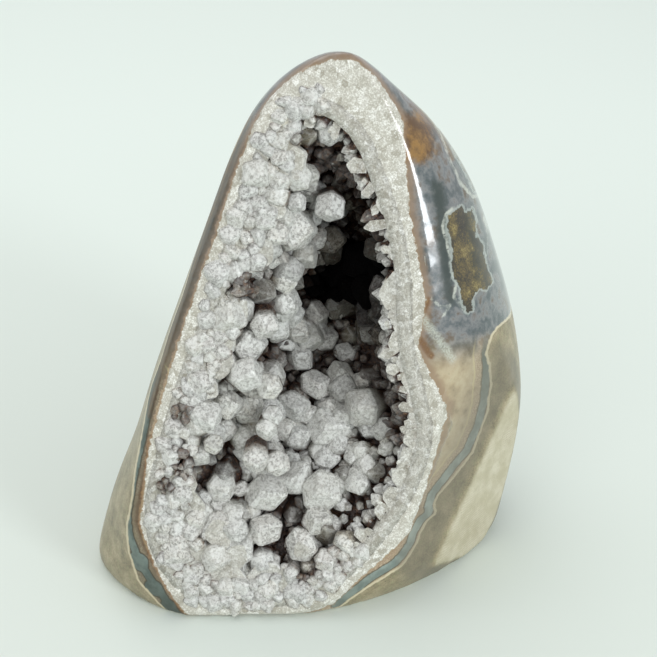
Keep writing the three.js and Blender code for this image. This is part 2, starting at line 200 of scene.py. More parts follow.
def points_of(mesh):
    """A mesh's vertices, in millimetres, one row each."""
    flat = np.empty(len(mesh.vertices) * 3)
    mesh.vertices.foreach_get("co", flat)
    return flat.reshape(-1, 3) / MM


def move_points(mesh, points):
    mesh.vertices.foreach_set("co", (points * MM).ravel())
    mesh.update()


def normals_of(mesh):
    flat = np.empty(len(mesh.vertices) * 3, dtype=np.float32)
    mesh.vertex_normals.foreach_get("vector", flat)
    return flat.reshape(-1, 3)


def on_mouth(points):
    """x, up and depth behind the mouth of points in millimetres."""
    from_foot = points - np.array([MOUTH_ZERO_X, MOUTH_FOOT_Y, 0])
    return from_foot[:, 0], from_foot @ UP_SLOPE, -(from_foot @ OUTWARD)


def smooth_step(values, low, high):
    share = np.clip((values - low) / (high - low), 0, 1)
    return share * share * (3 - 2 * share)


def distance_to_line(x, up, line, closed=False):
    """How far each place is from a line drawn through the given places."""
    ends = line + line[:1] if closed else line
    nearest = np.full(len(x), 1e9)
    for (ax, ay), (bx, by) in zip(ends, ends[1:]):
        dx, dy = bx - ax, by - ay
        along = np.clip(((x - ax) * dx + (up - ay) * dy) / (dx * dx + dy * dy), 0, 1)
        nearest = np.minimum(nearest, np.hypot(x - ax - along * dx, up - ay - along * dy))
    return nearest


def distance_inside(x, up, outline):
    """How far inside a closed outline each place is; less than nothing outside it."""
    inside = np.zeros(len(x), dtype=bool)
    for (ax, ay), (bx, by) in zip(outline, outline[1:] + outline[:1]):
        crosses = (ay > up) != (by > up)
        inside ^= crosses & (x < ax + (up - ay) * (bx - ax) / ((by - ay) or 1e-9))
    away = distance_to_line(x, up, outline, closed=True)
    return np.where(inside, away, -away)


EYE_AWAY = 300  # how far from the mouth the viewer's eye is
SIGHT_RISE = 0.2  # how far up the mouth the line of sight leaves, for each step inwards


def seen_from_mouth(x, up, depth):
    """Where on the mouth one looks through to see a place inside."""
    inwards = np.maximum(depth, 0)
    return x * EYE_AWAY / (EYE_AWAY + inwards), up + SIGHT_RISE * inwards


def shadow_and_iron(x, up, depth):
    """How dark the cavity is at each place and how much iron has settled there, each 0 to 1."""
    x, up = seen_from_mouth(x, up, depth)
    shadow = 0.85 * smooth_step(distance_inside(x, up, DARK_HOLLOW), -3.5, 0.5)
    shadow = np.maximum(shadow, smooth_step(distance_inside(x, up, BLACK_HEART), -3, -0.5))
    for px, pup, reach, amount in DIM_PLACES:
        near = -np.hypot(x - px, up - pup)
        shadow = np.maximum(shadow, amount * smooth_step(near, -1.3 * reach, -0.3 * reach))
    iron = np.zeros(len(x))
    for px, pup, reach in IRON_POCKETS:
        near = -np.hypot(x - px, up - pup)
        iron = np.maximum(iron, smooth_step(near, -1.1 * reach, -0.5 * reach))
    return shadow * smooth_step(depth, 2, 6), iron


def set_fields(mesh, **fields):
    """Numbers kept at each vertex, for the material to read."""
    for name, values in fields.items():
        field = mesh.attributes.new(name, "FLOAT", "POINT")
        field.data.foreach_set("value", np.asarray(values, dtype=np.float32))


def new_object(name, mesh):
    thing = bpy.data.objects.new(name, mesh)
    bpy.context.scene.collection.objects.link(thing)
    return thing


@contextmanager
def opened(mesh):
    """A mesh opened for cutting and joining, and written back afterwards."""
    body = bmesh.new()
    body.from_mesh(mesh)
    yield body
    body.to_mesh(mesh)
    body.free()


def welded_copy(node, name):
    """A copy of a CAD node's mesh with its loose triangles joined up."""
    mesh = node.data.copy()
    mesh.name = name
    with opened(mesh) as body:
        bmesh.ops.remove_doubles(body, verts=body.verts, dist=1e-6)
    mesh.materials.clear()
    for attribute in [a.name for a in mesh.attributes if not a.is_internal and not a.is_required]:
        mesh.attributes.remove(mesh.attributes[attribute])
    return new_object(name, mesh)


def baked(thing):
    """The object with its modifiers made part of its mesh."""
    evaluated = thing.evaluated_get(bpy.context.evaluated_depsgraph_get())
    mesh = bpy.data.meshes.new_from_object(evaluated)
    thing.modifiers.clear()
    thing.data = mesh
    return mesh


def remeshed(thing, voxel):
    thing.modifiers.clear()
    remesh = thing.modifiers.new("even mesh", "REMESH")
    remesh.mode = "VOXEL"
    remesh.voxel_size = voxel * MM
    mesh = baked(thing)
    mesh.shade_smooth()
    return mesh


def relaxed(mesh, rounds, free=None):
    """Smooths a mesh in place; free is 1 where a vertex may move and 0 where it is held."""
    points = points_of(mesh)
    edges = np.empty(len(mesh.edges) * 2, dtype=np.int64)
    mesh.edges.foreach_get("vertices", edges)
    first, second = edges[0::2], edges[1::2]
    count = len(points)
    neighbours = np.bincount(first, minlength=count) + np.bincount(second, minlength=count)
    hold = 0.5 if free is None else 0.5 * free[:, None]
    for _ in range(rounds):
        total = np.empty_like(points)
        for axis in range(3):
            total[:, axis] = (np.bincount(first, points[second, axis], count)
                              + np.bincount(second, points[first, axis], count))
        points += hold * (total / neighbours[:, None] - points)
    move_points(mesh, points)
    return points


# ---- Shader building -------------------------------------------------------------------------


class Signal:
    """What a node gives. Sums and products of signals, with each other or with numbers, are made
    by further nodes."""

    def __init__(self, board, socket):
        self.board, self.socket = board, socket

    def __add__(self, other):
        return self.board.math("ADD", self, other)

    def __mul__(self, other):
        return self.board.math("MULTIPLY", self, other)

    def __sub__(self, other):
        return self.board.math("SUBTRACT", self, other)

    def __rsub__(self, other):
        return self.board.math("SUBTRACT", other, self)

    def __abs__(self):
        return self.board.math("ABSOLUTE", self)


class Board:
    """A node tree, with short ways of adding nodes to it."""

    def __init__(self, tree):
        self.tree = tree

    def add(self, kind, inputs=(), **settings):
        node = self.tree.nodes.new(kind)
        for name, value in settings.items():
            setattr(node, name, value)
        for name, value in dict(inputs).items():
            self.feed(node.inputs[name], value)
        return node

    def feed(self, socket, value):
        """Links or sets an input; a colour may be given as its everyday 0 to 255 values."""
        if isinstance(value, Signal):
            value = value.socket
        if isinstance(value, tuple) and socket.type == "RGBA":
            value = srgb(*value)
        if isinstance(value, bpy.types.NodeSocket):
            self.tree.links.new(value, socket)
        else:
            socket.default_value = value

    def math(self, operation, a, b=0.0, clamp=False):
        node = self.add("ShaderNodeMath", {0: a, 1: b}, operation=operation, use_clamp=clamp)
        return Signal(self, node.outputs[0])

    def vector(self, operation, a, b):
        return self.add("ShaderNodeVectorMath", {0: a, 1: b}, operation=operation).outputs[0]

    def mix(self, share, a, b, blend="MIX"):
        node = self.add("ShaderNodeMix", data_type="RGBA", blend_type=blend)
        for number, value in ((0, share), (6, a), (7, b)):
            self.feed(node.inputs[number], value)
        return node.outputs[2]

    def layers(self, colour, *coats):
        """Lays colours over a colour, each given as (how much of it, colour)."""
        for share, coat in coats:
            colour = self.mix(share, colour, coat)
        return colour

    def step(self, value, low, high, to_low=0.0, to_high=1.0):
        """to_low where the value is at most low, to_high from high on, and a soft way between."""
        names = ("Value", "From Min", "From Max", "To Min", "To Max")
        node = self.add("ShaderNodeMapRange", zip(names, (value, low, high, to_low, to_high)),
                        interpolation_type="SMOOTHSTEP")
        return Signal(self, node.outputs[0])

    def near(self, value, low, high, most=1.0):
        """most where the value is at most low, and fading to nothing at high."""
        return self.step(value, low, high, most, 0.0)

    def ramp(self, value, *stops):
        """The colour at a value, between stops given as (value, red, green, blue)."""
        node = self.add("ShaderNodeValToRGB", {0: value})
        elements = node.color_ramp.elements
        while len(elements) < len(stops):
            elements.new(0.5)
        for element, (place, *colour) in zip(elements, stops):
            element.position = place
            element.color = srgb(*colour)
        return node.outputs[0]

    def noise(self, place, scale, detail=3.0, roughness=0.55, distortion=0.0):
        node = self.add("ShaderNodeTexNoise", {
            "Vector": place, "Scale": scale, "Detail": detail, "Roughness": roughness,
            "Distortion": distortion})
        return Signal(self, node.outputs[0])

    def cells(self, place, scale, output="Distance", feature="F1"):
        node = self.add("ShaderNodeTexVoronoi", {"Vector": place, "Scale": scale}, feature=feature)
        return Signal(self, node.outputs[output])

    def fields(self, *names):
        """The numbers kept at each vertex under these names."""
        return [Signal(self, self.add("ShaderNodeAttribute", attribute_name=name).outputs["Fac"])
                for name in names]

    def millimetres(self):
        place = self.add("ShaderNodeTexCoord").outputs["Object"]
        return self.vector("MULTIPLY", place, (1000, 1000, 1000))

    def bump(self, height, strength):
        return self.add("ShaderNodeBump", {
            "Height": height, "Distance": MM, "Strength": strength}).outputs[0]

    def group(self, tree, **inputs):
        node = self.add("ShaderNodeGroup", node_tree=tree)
        for name, value in inputs.items():
            self.feed(node.inputs[name], value)
        return {socket.name: Signal(self, socket) for socket in node.outputs}


def new_group(family, name, inputs, outputs):
    """A new node group with sockets given as {name: kind}: its board, what comes in, what goes
    out."""
    tree = bpy.data.node_groups.new(name, family + "NodeTree")
    for way, sockets in (("INPUT", inputs), ("OUTPUT", outputs)):
        for socket, kind in sockets.items():
            tree.interface.new_socket(socket, in_out=way, socket_type="NodeSocket" + kind)
    board = Board(tree)
    given = {socket.name: Signal(board, socket) for socket in board.add("NodeGroupInput").outputs}
    return board, given, board.add("NodeGroupOutput").inputs


def new_material(name, **sockets):
    """A material with one Principled BSDF whose plain values are given."""
    material = bpy.data.materials.new(name)
    material.use_nodes = True
    material.node_tree.nodes.clear()
    board = Board(material.node_tree)
    surface = board.add("ShaderNodeBsdfPrincipled")
    board.add("ShaderNodeOutputMaterial", {0: surface.outputs[0]})
    for socket, value in sockets.items():
        surface.inputs[socket.replace("_", " ")].default_value = value
    return material, board, surface.inputs


def make_sugar_group():
    """Quartz cut through or grown fine as sugar: flecked whites and greys."""
    board, given, result = new_group(
        "Shader", "sugary quartz", {"Place": "Vector", "Grain": "Float"},
        {"Color": "Color", "Height": "Float"})
    place, coarse = given["Place"], given["Grain"] * 0.75
    bent = board.vector("ADD", place, board.noise(place, 0.9, 2))
    grain_colour = board.cells(bent, coarse, "Color")
    edges = board.cells(bent, coarse, feature="DISTANCE_TO_EDGE")
    fine = board.noise(place, given["Grain"] * 2.6, 3, 0.7)
    flecks = board.step(fine, 0.40, 0.62)
    tone = board.add("ShaderNodeSeparateColor", {0: grain_colour}).outputs[0]
    colour = board.layers(
        board.ramp(tone, (0.0, 168, 164, 149), (0.2, 206, 204, 192), (0.65, 228, 227, 217),
                   (1.0, 246, 246, 239)),
        (board.near(flecks, 0.0, 1.0, 0.6), (160, 154, 140)),
        (board.step(fine, 0.55, 0.75), (246, 248, 244)),
        (board.near(edges, 0.0, 0.16) * 0.3, (172, 168, 156)))
    board.feed(result["Color"], colour)
    board.feed(result["Height"], edges * 0.8 + fine * 0.5)
    return board.tree


def make_iron_stain_and_shade_group():
    """Where iron has stained the quartz brown, and at the crystals' roots and deep in the cavity
    also painted shade: more with depth, in clouds.
    """
    board, given, result = new_group(
        "Shader", "iron stain and painted shade", {"Place": "Vector", "Amount": "Float"},
        {"Color": "Color", "Mask": "Float"})
    clouds = board.noise(given["Place"], 0.11, 3, 0.6)
    grit = board.noise(given["Place"], 1.1, 3, 0.6)
    level = clouds * 1.3 + grit * 0.4 + given["Amount"]
    board.feed(result["Mask"], board.step(level, 1.0, 1.5))
    board.feed(result["Color"], board.ramp(
        grit, (0.34, 22, 10, 7), (0.5, 58, 30, 19), (0.68, 116, 82, 54)))
    return board.tree


SUGAR = make_sugar_group()
IRON_STAIN_AND_SHADE = make_iron_stain_and_shade_group()


def make_stone_material():
    material, board, surface = new_material("cut and polished stone", IOR=1.54,
                                            Coat_Roughness=0.04)
    step, near, mix, layers = board.step, board.near, board.mix, board.layers
    place = board.millimetres()
    broad = board.noise(place, 0.055, 4)
    clouds = board.noise(place, 0.22, 5, 0.6)
    wobble = board.noise(place, 0.7, 4, 0.6)
    grit = board.noise(place, 2.4, 4, 0.65)
    waver, quiver = (wobble - 0.5) * 1.9, (wobble - 0.5) * 0.8
    rim, moss, dusk = [field + waver for field in board.fields(
        "rim_out", "moss_in", "dusky_streak")]
    agate, band, pale, cream = [field + quiver for field in board.fields(
        "agate_in", "blue_band", "pale_line", "cream_streak")]
    rust, amber, shade, upper, skin, sawn, cut_away = board.fields(
        "rust_line", "amber_in", "band_shade", "upper", "skin", "sawn", "cut_away")
    rust += quiver * 0.8
    amber += waver * 1.5

    # Chalcedony: grey-blue, clouded with brown towards the rim and the sides.
    chalcedony = board.ramp(clouds, (0.30, 56, 66, 64), (0.44, 88, 96, 98), (0.54, 126, 128, 128),
                            (0.64, 100, 90, 78), (0.74, 92, 74, 56))
    lower = board.ramp(clouds, (0.28, 138, 122, 96), (0.45, 172, 155, 124), (0.6, 186, 172, 142),
                       (0.72, 140, 136, 102))
    colour = layers(
        mix(upper, lower, chalcedony),
        (near(rim, 0.6, 2.6) * 0.75, (146, 122, 98)),
        (near(dusk, 0.4, 2.6, 0.9), (48, 60, 56)))

    # The blue-grey band low down, dark at its edges, with a strip and a thin line inside it.
    broken = step(clouds, 0.38, 0.56, 0.15, 1.0)
    below = 1.0 - upper
    strip = mix(step(grit, 0.4, 0.6), (150, 124, 100), (188, 170, 142))
    blue = mix(step(clouds, 0.35, 0.65), (116, 130, 124), (160, 174, 166))
    colour = layers(
        colour,
        (near(band, 2.2, 3.6, 0.8) * below * broken, strip),
        (near(abs(band - 3.3), 0.05, 0.35, 0.6) * below, (198, 184, 140)),
        (near(band, 1.15, 1.6, 0.9) * below, (74, 68, 50)),
        (near(band, 0.9, 1.2) * below, mix(shade, blue, (70, 80, 70))))

    # Rusty, pale and cream lines.
    stain = board.math("MAXIMUM", broken, 0.65)
    streaks = step(grit, 0.4, 0.6, 0.35, 1.0)
    colour = layers(
        colour,
        (near(rust, 0.35, 1.2, 0.9) * stain, (116, 82, 46)),
        (near(rust, 0.0, 0.3, 0.45) * stain, (178, 148, 100)),
        (near(pale, 0.15, 0.55, 0.75) * broken, (206, 210, 198)),
        (near(cream, 0.2, 1.7, 0.85) * streaks, (190, 194, 180)))

    # The left side is duller than the right.
    left = near(board.add("ShaderNodeSeparateXYZ", {0: place}).outputs["X"], -22.0, -2.0)
    dull = mix(1.0, colour, (186, 192, 190), "MULTIPLY")
    colour = mix(left * step(rim, 0.3, 0.8), colour, dull)

    # Amber spot, and mossy patches with a pale outline.
    amber_colour = mix(step(clouds * 0.8 + grit * 0.2, 0.4, 0.62), (90, 60, 22), (150, 112, 52))
    moss_colour = board.ramp(clouds * 0.7 + grit * 0.45, (0.42, 36, 35, 27), (0.56, 64, 59, 42),
                             (0.66, 106, 92, 54), (0.76, 156, 142, 90))
    colour = layers(
        colour,
        (step(amber, -1.4, 1.4, 0.0, 0.95), amber_colour),
        (step(moss, -0.6, -0.2, 0.0, 0.6), (180, 188, 180)),
        (step(moss, 0.0, 0.25), moss_colour))

    # Basalt outside the agate: tan and olive, with a pale line where they meet.
    basalt = board.ramp(clouds * 0.6 + grit * 0.5, (0.42, 108, 98, 74), (0.52, 138, 128, 98),
                        (0.62, 160, 147, 117), (0.76, 188, 176, 146))
    basalt = mix(near(board.cells(place, 0.55), 0.1, 0.5, 0.35), basalt, (150, 152, 112))
    colour = mix(step(agate, -0.15, 0.15), basalt, colour)
    colour = mix(near(abs(agate), 0.12, 0.5, 0.85), colour, (214, 202, 170))

    # The second saw cut is paler and scored by the blade, with a darker stripe beside it.
    blade = board.add("ShaderNodeMapping", {
        "Vector": place, "Rotation": (0, math.radians(4), 0), "Scale": (0.02, 0.02, 1)})
    marks = board.add("ShaderNodeTexWave", {
        "Vector": blade.outputs[0], "Scale": 0.4, "Distortion": 2.0, "Detail": 3,
        "Detail Scale": 0.4}, bands_direction="Z")
    scored = sawn * marks.outputs["Fac"] * step(broad, 0.4, 0.6)
    powder = mix(step(clouds, 0.35, 0.7), (190, 184, 158), (211, 206, 185))
    powder = mix(scored * 0.35, powder, (162, 150, 116))
    stripe = step(cut_away, 0.3, 1.0) * near(cut_away, 2.0, 4.5)

    # The natural skin at the back, and the quartz rim inside all of it.
    crust = board.ramp(clouds * 0.5 + grit * 0.6, (0.4, 58, 52, 42), (0.54, 96, 88, 72),
                       (0.66, 124, 116, 92), (0.8, 150, 150, 120))
    sugar = board.group(SUGAR, Place=place, Grain=1.0)
    quartz = near(rim, -0.2, 0.15)
    colour = layers(
        colour,
        (stripe * 0.6, (104, 98, 84)),
        (sawn * 0.92, powder),
        (skin, crust),
        (near(abs(rim), 0.1, 0.5, 0.55), (150, 128, 98)),
        (quartz, sugar["Color"]))
    board.feed(surface["Base Color"], colour)

    polish = board.math("SUBTRACT", 1.0, board.math("MAXIMUM", skin, sawn * 0.8), clamp=True)
    inside = step(agate, -0.4, 0.4)
    gloss = polish * (inside * 0.45 + 0.55) * step(left * inside, 0.0, 1.0, 1.0, 0.4)
    board.feed(surface["Roughness"], step(gloss, 0.0, 1.0, 0.85, 0.08) + grit * 0.12)
    board.feed(surface["Coat Weight"], gloss * 0.6)
    height = grit * (skin + sawn * 0.25) + scored * 0.12 + sugar["Height"] * quartz * 0.16
    height -= step(moss, 0, 0.3) * 0.06
    board.feed(surface["Normal"], board.bump(height, 0.8))
    return material


def make_quartz_material(name, clear, shine=0.5):
    """Frosted quartz. Reads along, 0 at a crystal's root and 1 at its tip; edge, 1 on its edges,
    where a highlight is painted;
    tone, one value for each crystal; cut, 1 where the saw went through it; and shadow and iron."""
    material, board, surface = new_material(
        name, IOR=1.5, Transmission_Weight=clear, Subsurface_Weight=0.08,
        Subsurface_Radius=(1.0, 1.0, 1.0), Subsurface_Scale=0.0007, Specular_IOR_Level=shine)
    step, near, mix = board.step, board.near, board.mix
    place = board.millimetres()
    frost = board.noise(place, 1.5, 4, 0.65)
    veils = board.noise(place, 0.4, 3, 0.6)
    fleck = board.noise(place, 1.25, 4, 0.85, 0.6)
    along, edge, tone, cut, shadow, iron = board.fields(
        "along", "edge", "tone", "cut", "shadow", "iron")
    colour = board.ramp(tone * 0.4 + veils * 0.8, (0.28, 118, 111, 103), (0.44, 160, 156, 149),
                        (0.58, 196, 194, 187), (0.78, 210, 207, 201), (0.98, 220, 216, 200))
    tint = board.ramp(tone, (0.0, 240, 231, 206), (0.25, 236, 234, 227), (0.5, 204, 204, 210),
                      (0.75, 226, 214, 209), (1.0, 238, 232, 215))
    colour = mix(1.0, colour, tint, "MULTIPLY")

    # Painted light and shade: each face gets a darker or a paler colour by the way it points,
    # standing in for how it catches the light, the palest as painted glints.
    ways = board.add("ShaderNodeTexCoord").outputs["Normal"]
    facet = board.noise(board.vector("ADD", ways, tone * 17.0), 1.9, 1, 0.5)

    # Etch pits and veils: dark flecks in drifts, thicker in the clearer crystals.
    drifts = step(tone * 0.35 + veils, 0.5, 0.78, 0.25, 1.0)
    pits = near(board.cells(place, 0.9), 0.12, 0.34, 0.9)
    pitted = board.math("MAXIMUM", pits, near(fleck, 0.40, 0.48)) * drifts

    # Iron in the pockets; at the roots, iron stain and painted shade between the crystals; and the
    # painted shade of the hollow.
    amount = step(along, 0.15, 0.85, 0.85, -0.42) + iron * step(along, 0.3, 1.0, 1.2, 0.85)
    stain = board.group(IRON_STAIN_AND_SHADE, Place=place, Amount=amount)
    sugar = board.group(SUGAR, Place=place, Grain=1.0)
    gloom = mix(step(frost, 0.45, 0.7), (9, 6, 5), (46, 32, 25))
    gloom = mix(step(shadow, 0.8, 1.0), gloom, (4, 3, 3))

    # Painted highlight: the colour is made paler along the edges and where a face turns away,
    # standing in for the light that comes out there.
    turned = board.add("ShaderNodeLayerWeight", {"Blend": 0.5}).outputs["Facing"]
    lit = board.math("MAXIMUM", step(turned, 0.6, 0.9, 0.0, 0.8), edge)
    lit *= step(along, 0.35, 0.75)
    lit *= step(iron, 0.2, 1.0, 0.85, 0.15)
    lit *= step(fleck, 0.4, 0.55, 0.5, 1.0)
    lit *= step(cut, 0.0, 1.0, 1.0, 0.3)
    lit *= near(shadow, 0.1, 0.85)
    colour = board.layers(
        colour,
        (near(facet, 0.36, 0.52, 0.6), (112, 107, 101)),
        (step(facet, 0.52, 0.66, 0.0, 0.5), (238, 239, 236)),
        (pitted * 0.8, (84, 74, 63)),
        (step(fleck, 0.54, 0.66, 0.0, 0.55), (236, 237, 232)),
        (stain["Mask"] * 0.93, stain["Color"]),
        (cut * 0.8, sugar["Color"]),
        (shadow, gloom),
        (lit, (240, 241, 237)))
    board.feed(surface["Base Color"], colour)
    rough = step(frost, 0.35, 0.65, 0.2, 0.5) * step(facet, 0.56, 0.62, 1.0, 0.15)
    board.feed(surface["Roughness"], board.math("MAXIMUM", rough, shadow * 0.9))
    height = frost * 0.26 + veils * 0.2 - pitted * 0.14 + cut * sugar["Height"] * 0.12
    board.feed(surface["Normal"], board.bump(height, 0.75))
    return material


STONE = make_stone_material()
POINT_QUARTZ = make_quartz_material("frosted quartz points", 0.12)
DRUSE_QUARTZ = make_quartz_material("small druse crystals", 0.06)
# A shaded copy of the quartz, with no clearness and little shine, so that the painted shade of the
# hollow stays dark.
SHADED_HOLLOW_QUARTZ = make_quartz_material("quartz in the painted shade of the hollow", 0.0, shine=0.05)

# ---- The stone -------------------------------------------------------------------------------


def paint_fields(mesh):
    """Writes how far each vertex is from every line and patch of the agate's pattern."""
    points = points_of(mesh)
    x, up, depth = on_mouth(points)
    reach = np.interp(x, [-30, 0, 20, 45], [13, 10, 18, 32])
    reach += 2.2 * np.sin(up * 0.13 + 1) + 1.2 * np.sin(up * 0.37)
    front = np.minimum(reach - depth, 40)
    across = distance_inside(x, up, AGATE_EDGE)
    corner = 7 * np.exp(-np.abs(across - front) / 7)  # rounds off where the two limits meet
    hidden = np.where(front > 0, 0, 50)
    band = np.min([distance_to_line(x, up, line) for line in BLUE_BAND]
                  + [np.hypot(x - px, up - pup) - size for px, pup, size in BAND_LOBES], axis=0)
    moss = np.max([distance_inside(x, up, patch) for patch in MOSS_PATCHES], axis=0)
    base = points[:, 2] < 0.35
    facing = normals_of(mesh) @ OUTWARD
    behind = smooth_step(depth, 34, 42) * smooth_step(-facing, -0.35, 0.1)
    from_cut = (points - SIDE_CUT_FROM) @ SIDE_CUT_FACING

    def from_lines(lines):
        return np.min([distance_to_line(x, up, line) for line in lines], axis=0) + hidden

    set_fields(
        mesh,
        rim_out=np.maximum(-distance_inside(x, up, QUARTZ_EDGE), depth - 1.4),
        agate_in=np.minimum(across, front) - np.where(front < 25, 0.5 * corner, 0),
        blue_band=band + hidden,
        band_shade=np.interp(up, [0, 6, 14, 24, 40, 50, 60, 70],
                             [0.75, 0.55, 0.15, 0, 0.1, 0.25, 0.7, 0.9]),
        rust_line=from_lines(RUST_LINES),
        pale_line=from_lines(PALE_LINES),
        cream_streak=from_lines([CREAM_STREAK]),
        dusky_streak=from_lines([DUSKY_STREAK]),
        moss_in=moss - hidden,
        amber_in=distance_inside(x, up, AMBER_SPOT) - hidden,
        upper=smooth_step(up, 62, 72) * smooth_step(x, -60, -20),
        skin=np.where(base, 0, behind),
        cut_away=np.where((x > 20) & (up < 75), -from_cut, 50),
        sawn=np.maximum(smooth_step(from_cut, -0.5, -0.12), base))


STONE_GRAIN = 0.85  # side of the stone's mesh cells
POINT_GRAIN = 0.32  # and of a large point's
HELD_WITHIN = 0.3  # how close to a sawn face a place is held when the rest is smoothed
POCKET_SHRINK = 0.75  # how far the wall behind the crust stands back for it


def make_stone():
    stone = welded_copy(NODES["rock_shell"], "geode_stone")
    mesh = remeshed(stone, STONE_GRAIN)
    points = points_of(mesh)
    x, up, depth = on_mouth(points)
    from_cut = (points - SIDE_CUT_FROM) @ SIDE_CUT_FACING
    from_flat = (points - SIDE_FLAT_FROM) @ SIDE_FLAT_FACING
    held = (np.abs(depth) < HELD_WITHIN) | (points[:, 2] < HELD_WITHIN)
    held |= np.abs(from_cut) < HELD_WITHIN
    held |= (np.abs(from_flat) < HELD_WITHIN) & (from_cut < -1)
    pocket = (distance_inside(x, up, QUARTZ_EDGE) > 1.5) & (depth < 38)
    points = relaxed(mesh, 60, np.where(held | pocket, 0.0, 1.0))
    points = relaxed(mesh, 3, np.where(pocket, 0.0, 1.0))
    inwards = normals_of(mesh)
    inwards -= np.outer(inwards @ OUTWARD, OUTWARD)
    points += np.where(pocket & (depth > 0.2), POCKET_SHRINK, 0)[:, None] * inwards
    move_points(mesh, points)
    paint_fields(mesh)
    mesh.materials.append(STONE)
    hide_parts("rock_shell")
    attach(stone, "root")


# ---- Quartz ----------------------------------------------------------------------------------


def set_shadow(mesh, each=1, stain=(1, 0), gloom=0):
    """Writes shadow and iron, the same over every crystal of so many vertices each; stain is what
    iron is multiplied by and then raised by, where the cavity is deep, a raise that darkens as iron
    stain and painted shade together."""
    points = points_of(mesh)
    middles = points.reshape(-1, each, 3).mean(axis=1)
    x, up, depth = on_mouth(middles)
    shadow, iron = shadow_and_iron(x, up, depth)
    deep = smooth_step(depth, 2, 8)
    iron = np.clip(iron * stain[0] + stain[1] * deep, 0, 1)
    shadow = np.maximum(shadow, gloom * deep)
    set_fields(mesh, shadow=np.repeat(shadow, each), iron=np.repeat(iron, each))


def give_quartz(mesh, quartz):
    """Gives a mesh its quartz, and where no light reaches, a shaded copy of it with no clearness
    and little shine, for the painted shade of the hollow.
    """
    shadow = np.empty(len(mesh.vertices), dtype=np.float32)
    mesh.attributes["shadow"].data.foreach_get("value", shadow)
    first = np.empty(len(mesh.polygons), dtype=np.int32)
    mesh.polygons.foreach_get("loop_start", first)
    corners = np.empty(len(mesh.loops), dtype=np.int32)
    mesh.loops.foreach_get("vertex_index", corners)
    mesh.materials.clear()
    mesh.materials.append(quartz)
    mesh.materials.append(SHADED_HOLLOW_QUARTZ)
    deep = shadow[corners[first]] > 0.6
    mesh.polygons.foreach_set("material_index", deep.astype(np.int32))


FIRST_TOOTH = 46  # from this one on, the points grow across from the right and are sliced
TOOTH_SHIFT = 1.2  # and stand this much further to the right than the CAD's


def make_point(name, number):
    """A large quartz point: the CAD's, with its edges worn and its faces etched."""
    point = welded_copy(NODES[name], name + "_grown")
    mesh = remeshed(point, POINT_GRAIN)
    sharp = points_of(mesh)
    normals = normals_of(mesh)
    worn = relaxed(mesh, 2)
    # edge is how far each place was worn back, where the quartz material paints a highlight.
    edge = np.clip(((sharp - worn) * normals).sum(axis=1) / 0.09, 0, 1)
    if number >= FIRST_TOOTH:
        worn[:, 0] += TOOTH_SHIFT
        move_points(mesh, worn)
    depth = on_mouth(worn)[2]
    span = max(depth.max() - depth.min(), 1)
    set_fields(mesh, along=np.clip((depth.max() - depth) / span * 1.15, 0, 1), edge=edge,
               tone=np.full(len(worn), (number * GOLDEN) % 1),
               cut=smooth_step(-depth, -0.75, -0.45))
    set_shadow(mesh, len(worn), stain=(0.4, 0))
    give_quartz(mesh, POINT_QUARTZ)
    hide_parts(name)
    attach(point, "root")


make_stone()
POINT_NAMES = sorted(name for name in NODES if name.startswith("quartz_point"))
for number, name in enumerate(POINT_NAMES):
    make_point(name, number)


def seed_crystal(name, neck_height, tip_height, worn):
    """A small six-sided crystal, 1 across, root at the origin, uneven at the tip and worn."""
    body = bmesh.new()
    ring = [(math.cos(math.radians(60 * i)) / 2, math.sin(math.radians(60 * i)) / 2)
            for i in range(6)]
    foot = [body.verts.new((0.8 * x, 0.8 * y, 0)) for x, y in ring]
    neck = [body.verts.new((x, y, neck_height + 0.16 * (i % 2))) for i, (x, y) in enumerate(ring)]
    tip = body.verts.new((0.06, -0.04, tip_height))
    body.faces.new(reversed(foot))
    for i in range(6):
        j = (i + 1) % 6
        body.faces.new((foot[i], foot[j], neck[j], neck[i]))
        body.faces.new((neck[i], neck[j], tip))
    body.normal_update()
    rims = [e for e in body.edges if not (e.verts[0] in foot and e.verts[1] in foot)]
    made = bmesh.ops.bevel(body, geom=rims, offset=worn, segments=1, affect="EDGES", profile=0.5)
    body.faces.index_update()
    worn_faces = {face.index for face in made["faces"]}
    mesh = bpy.data.meshes.new(name)
    body.to_mesh(mesh)
    body.free()
    height = np.array([v.co.z for v in mesh.vertices])
    # edge marks the worn faces above the crystal's foot, where the quartz material paints a
    # highlight.
    edge = np.zeros(len(mesh.vertices))
    for index in worn_faces:
        edge[list(mesh.polygons[index].vertices)] = 0.85
    set_fields(mesh, along=np.clip(height / (0.95 * tip_height), 0, 1),
               edge=edge * (height > 0.3 * tip_height))
    return new_object(name, mesh)


